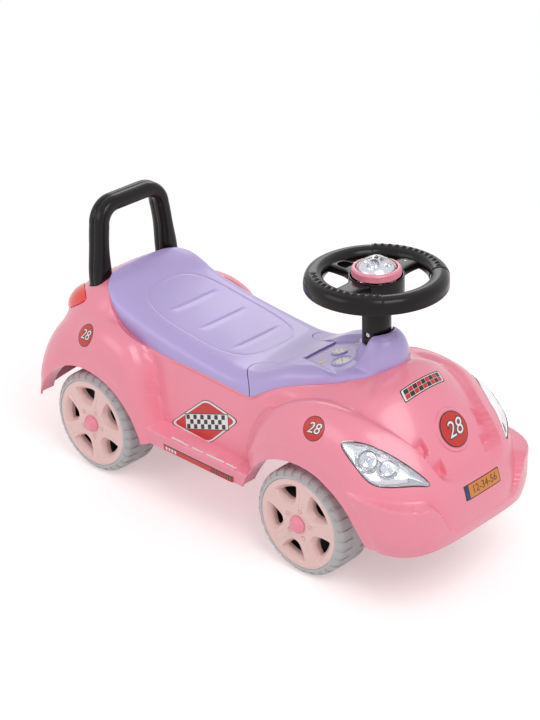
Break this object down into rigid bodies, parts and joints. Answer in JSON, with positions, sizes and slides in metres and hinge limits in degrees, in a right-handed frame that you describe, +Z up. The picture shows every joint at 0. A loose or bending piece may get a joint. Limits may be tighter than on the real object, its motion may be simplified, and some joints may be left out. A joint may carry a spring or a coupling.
{
  "type": "kids push car",
  "caption": "Ride-on push car with a moulded shell, push handle, lift-off seat over a storage tub, steered front wheels and a steering wheel with a press dome.",
  "frame": {"origin": "on the ground, at the middle of the car's box", "axes": "+Z up, the car faces -Y, its right side is -X"},
  "size_m": [0.2632, 0.6631, 0.3964],
  "materials": {
    "pink_body": "glossy injection-moulded plastic",
    "lilac_top": "glossy injection-moulded plastic",
    "black_gloss": "gloss black plastic",
    "grey_tyre": "satin light grey plastic",
    "pale_cover": "pale pink gloss plastic",
    "clear_lens": "clear plastic",
    "silver_dish": "vacuum-metallised plastic",
    "red_lens": "red translucent plastic",
    "steel": "bright steel",
    "dark_nylon": "black nylon",
    "board_green": "circuit board"
  },
  "bodies": {
    "root": {"body_shell": "pink_body", "storage_tub": "pink_body", "dashboard": "lilac_top", "handle_front_shell": "black_gloss", "handle_rear_shell": "black_gloss", "headlight_lens_r": "clear_lens", "headlight_lens_l": "clear_lens", "headlight_reflector_r": "silver_dish", "headlight_reflector_l": "silver_dish", "tail_lamp_r": "red_lens", "tail_lamp_l": "red_lens", "front_beam": "dark_nylon", "rear_beam": "dark_nylon", "column_bush": "dark_nylon", "kingpin_r": "steel", "kingpin_l": "steel", "rear_axle": "steel"},
    "seat_lid": {"seat": "lilac_top"},
    "steering": {"steering_wheel": "black_gloss", "column_tube": "black_gloss", "steering_shaft": "steel", "hub_ring": "pink_body", "circuit_board": "board_green", "battery_r": "steel", "battery_l": "steel"},
    "dome": {"dome_button": "clear_lens", "dome_reflector": "silver_dish", "dome_spring": "steel"},
    "right_knuckle": {"knuckle_r": "dark_nylon", "stub_axle_r": "steel"},
    "left_knuckle": {"knuckle_l": "dark_nylon", "stub_axle_l": "steel"},
    "link": {"tie_rod": "dark_nylon"},
    "front_right_wheel": {"tyre_front_right": "grey_tyre", "rim_front_right": "dark_nylon", "wheel_cover_front_right": "pale_cover", "hub_cap_front_right": "pink_body"},
    "front_left_wheel": {"tyre_front_left": "grey_tyre", "rim_front_left": "dark_nylon", "wheel_cover_front_left": "pale_cover", "hub_cap_front_left": "pink_body"},
    "rear_right_wheel": {"tyre_rear_right": "grey_tyre", "rim_rear_right": "dark_nylon", "wheel_cover_rear_right": "pale_cover", "hub_cap_rear_right": "pink_body"},
    "rear_left_wheel": {"tyre_rear_left": "grey_tyre", "rim_rear_left": "dark_nylon", "wheel_cover_rear_left": "pale_cover", "hub_cap_rear_left": "pink_body"}
  },
  "joints": [
    {"name": "steering", "type": "hinge", "parent": "root", "child": "steering", "pos_m": [0, -0.155, 0.3586], "axis": [0, 0.0349, 0.9994], "range_deg": [-28, 28]},
    {"name": "right_knuckle_turn", "type": "hinge", "parent": "root", "child": "right_knuckle", "pos_m": [-0.0425, -0.1375, 0.097], "axis": [0, 0, 1], "range_deg": [-28, 28]},
    {"name": "left_knuckle_turn", "type": "hinge", "parent": "root", "child": "left_knuckle", "pos_m": [0.0425, -0.1375, 0.097], "axis": [0, 0, 1], "range_deg": [-28, 28]},
    {"name": "link_turn", "type": "hinge", "parent": "steering", "child": "link", "pos_m": [0, -0.18935, 0.1195], "axis": [0, 0.0349, 0.9994], "range_deg": [-28, 28]},
    {"name": "seat_lift", "type": "slide", "parent": "root", "child": "seat_lid", "axis": [0, 0, 1], "range_m": [0, 0.1]},
    {"name": "dome_press", "type": "slide", "parent": "steering", "child": "dome", "axis": [0, -0.0349, -0.9994], "range_m": [0, 0.003], "stiffness_N_per_m": 400, "springref_m": -0.001, "deforming": ["dome_spring"]},
    {"name": "front_right_wheel_spin", "type": "hinge", "parent": "right_knuckle", "child": "front_right_wheel", "pos_m": [-0.088, -0.1375, 0.071], "axis": [1, 0, 0], "continuous": true},
    {"name": "front_left_wheel_spin", "type": "hinge", "parent": "left_knuckle", "child": "front_left_wheel", "pos_m": [0.088, -0.1375, 0.071], "axis": [1, 0, 0], "continuous": true},
    {"name": "rear_right_wheel_spin", "type": "hinge", "parent": "root", "child": "rear_right_wheel", "pos_m": [-0.088, 0.2305, 0.071], "axis": [1, 0, 0], "continuous": true},
    {"name": "rear_left_wheel_spin", "type": "hinge", "parent": "root", "child": "rear_left_wheel", "pos_m": [0.088, 0.2305, 0.071], "axis": [1, 0, 0], "continuous": true}
  ],
  "couplings": [
    {"joint": "right_knuckle_turn", "follows": "steering", "ratio": 1},
    {"joint": "left_knuckle_turn", "follows": "steering", "ratio": 1},
    {"joint": "link_turn", "follows": "steering", "ratio": -1}
  ]
}
